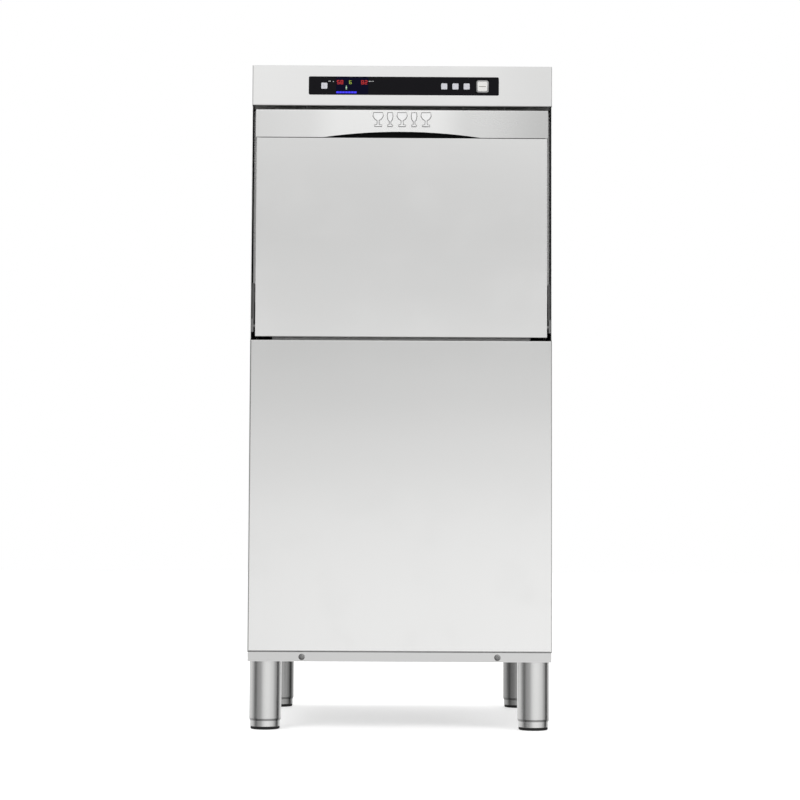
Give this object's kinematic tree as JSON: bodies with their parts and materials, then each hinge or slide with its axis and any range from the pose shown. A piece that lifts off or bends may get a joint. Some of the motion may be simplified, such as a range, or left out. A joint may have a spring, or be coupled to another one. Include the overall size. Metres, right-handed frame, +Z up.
{
  "type": "glass washer machine",
  "caption": "Front-loading commercial glass washer in brushed steel on a tall base with round legs: drop-down door, key panel, spray arms, pump, boiler.",
  "frame": {"origin": "on the floor under the middle of the bounding box", "axes": "+Z up, +Y from the front of the machine to its rear, +X to the right as seen from the front"},
  "size_m": [0.6, 0.623, 1.322],
  "materials": {
    "casing_steel": "fine brushed stainless steel",
    "base_steel": "plain stainless steel",
    "leg_steel": "ground stainless tube",
    "foot_steel": "turned stainless steel on a black pad",
    "badge_steel": "polished",
    "chamber_steel": "satin stainless steel",
    "arm_steel": "satin stainless steel",
    "hinge_steel": "plain steel plate",
    "spring_steel": "drawn spring steel",
    "overlay_black": "glossy black film",
    "display_glass": "dark blue window",
    "key_white": "light grey keycap",
    "start_chrome": "bright rim round a white keycap",
    "board_green": "solder resist",
    "seal_rubber": "soft black",
    "hose_rubber": "matt black",
    "element_steel": "heat-tinted sheath",
    "spray_plastic": "moulded blue",
    "pump_plastic": "moulded black",
    "motor_aluminium": "cast",
    "rotor_steel": "turned",
    "boiler_steel": "plain stainless steel",
    "dosing_white": "moulded white",
    "device_grey": "moulded grey on plated steel",
    "inlet_brass": "machined",
    "drain_grey": "extruded grey",
    "gland_black": "moulded black"
  },
  "bodies": {
    "cabinet": {"arm_nuts": "spray_plastic", "balance_springs": "spring_steel", "base_frame": "base_steel", "boiler": "boiler_steel", "boiler_element": "element_steel", "cable_gland": "gland_black", "chamber_roof": "chamber_steel", "chamber_walls": "chamber_steel", "control_board": "board_green", "control_fascia": "casing_steel", "control_overlay": "overlay_black", "delivery_hose": "hose_rubber", "display_module": "display_glass", "door_frame": "chamber_steel", "door_seal": "seal_rubber", "dosing_pump": "pump_plastic", "drain_pipe": "drain_grey", "electrical_panel": "device_grey", "floor_plate": "base_steel", "hinge_brackets": "hinge_steel", "inlet_valve": "inlet_brass", "leg_tubes": "leg_steel", "lower_front_panel": "casing_steel", "lower_manifold": "spray_plastic", "panel_screws": "base_steel", "rack_rails": "chamber_steel", "rear_panel": "casing_steel", "rinse_pump": "motor_aluminium", "side_panel_left": "casing_steel", "side_panel_right": "casing_steel", "spring_brackets": "hinge_steel", "suction_hose": "hose_rubber", "tank_element": "element_steel", "tank_filter": "chamber_steel", "top_cover": "casing_steel", "upper_manifold": "spray_plastic", "wash_pump_housing": "pump_plastic", "wash_pump_motor": "motor_aluminium", "wash_tank": "chamber_steel"},
    "door": {"door_outer_skin": "casing_steel", "door_inner_panel": "chamber_steel", "door_handle": "casing_steel", "door_badge": "badge_steel", "hinge_levers": "hinge_steel"},
    "balance": {"balance_rods": "spring_steel"},
    "foot_front_left": {"foot_front_left": "foot_steel"},
    "foot_front_right": {"foot_front_right": "foot_steel"},
    "foot_rear_left": {"foot_rear_left": "foot_steel"},
    "foot_rear_right": {"foot_rear_right": "foot_steel"},
    "on_off_key": {"on_off_key": "key_white"},
    "program_key_1": {"program_key_1": "key_white"},
    "program_key_2": {"program_key_2": "key_white"},
    "program_key_3": {"program_key_3": "key_white"},
    "start_key": {"start_key": "start_chrome"},
    "wash_arm_lower": {"wash_arm_lower": "arm_steel"},
    "wash_arm_upper": {"wash_arm_upper": "arm_steel"},
    "rinse_arm_lower": {"rinse_arm_lower": "arm_steel"},
    "rinse_arm_upper": {"rinse_arm_upper": "arm_steel"},
    "pump_rotor": {"wash_pump_rotor": "rotor_steel"},
    "dosing_wheel": {"dosing_rotor": "dosing_white"}
  },
  "joints": [
    {"name": "door_hinge", "type": "hinge", "parent": "cabinet", "child": "door", "pos_m": [0, -0.298, 0.798], "axis": [1, 0, 0], "range_deg": [0, 90], "deforming": ["balance_springs"]},
    {"name": "balance_swing", "type": "hinge", "parent": "door", "child": "balance", "pos_m": [0, -0.2662, 0.7662], "axis": [1, 0, 0], "range_deg": [-90, 0]},
    {"name": "foot_front_left_screw", "type": "slide", "parent": "cabinet", "child": "foot_front_left", "axis": [0, 0, 1], "range_m": [-0.025, 0.015]},
    {"name": "foot_front_right_screw", "type": "slide", "parent": "cabinet", "child": "foot_front_right", "axis": [0, 0, 1], "range_m": [-0.025, 0.015]},
    {"name": "foot_rear_left_screw", "type": "slide", "parent": "cabinet", "child": "foot_rear_left", "axis": [0, 0, 1], "range_m": [-0.025, 0.015]},
    {"name": "foot_rear_right_screw", "type": "slide", "parent": "cabinet", "child": "foot_rear_right", "axis": [0, 0, 1], "range_m": [-0.025, 0.015]},
    {"name": "on_off_key_press", "type": "slide", "parent": "cabinet", "child": "on_off_key", "axis": [0, 1, 0], "range_m": [0, 0.001], "stiffness_N_per_m": 800, "springref_m": -0.001},
    {"name": "program_key_1_press", "type": "slide", "parent": "cabinet", "child": "program_key_1", "axis": [0, 1, 0], "range_m": [0, 0.001], "stiffness_N_per_m": 800, "springref_m": -0.001},
    {"name": "program_key_2_press", "type": "slide", "parent": "cabinet", "child": "program_key_2", "axis": [0, 1, 0], "range_m": [0, 0.001], "stiffness_N_per_m": 800, "springref_m": -0.001},
    {"name": "program_key_3_press", "type": "slide", "parent": "cabinet", "child": "program_key_3", "axis": [0, 1, 0], "range_m": [0, 0.001], "stiffness_N_per_m": 800, "springref_m": -0.001},
    {"name": "start_key_press", "type": "slide", "parent": "cabinet", "child": "start_key", "axis": [0, 1, 0], "range_m": [0, 0.001], "stiffness_N_per_m": 800, "springref_m": -0.001},
    {"name": "wash_arm_lower_spin", "type": "hinge", "parent": "cabinet", "child": "wash_arm_lower", "pos_m": [0, -0.006, 0.7915], "axis": [0, 0, 1], "continuous": true},
    {"name": "rinse_arm_lower_spin", "type": "hinge", "parent": "cabinet", "child": "rinse_arm_lower", "pos_m": [0, -0.006, 0.8085], "axis": [0, 0, 1], "continuous": true},
    {"name": "wash_arm_upper_spin", "type": "hinge", "parent": "cabinet", "child": "wash_arm_upper", "pos_m": [0, -0.006, 1.2125], "axis": [0, 0, 1], "continuous": true},
    {"name": "rinse_arm_upper_spin", "type": "hinge", "parent": "cabinet", "child": "rinse_arm_upper", "pos_m": [0, -0.006, 1.1955], "axis": [0, 0, 1], "continuous": true},
    {"name": "pump_spin", "type": "hinge", "parent": "cabinet", "child": "pump_rotor", "pos_m": [0.06, 0.11, 0.235], "axis": [1, 0, 0], "continuous": true},
    {"name": "dosing_spin", "type": "hinge", "parent": "cabinet", "child": "dosing_wheel", "pos_m": [-0.268, -0.25, 0.44], "axis": [0, 1, 0], "continuous": true}
  ],
  "couplings": [
    {"joint": "balance_swing", "follows": "door_hinge", "ratio": -1}
  ]
}
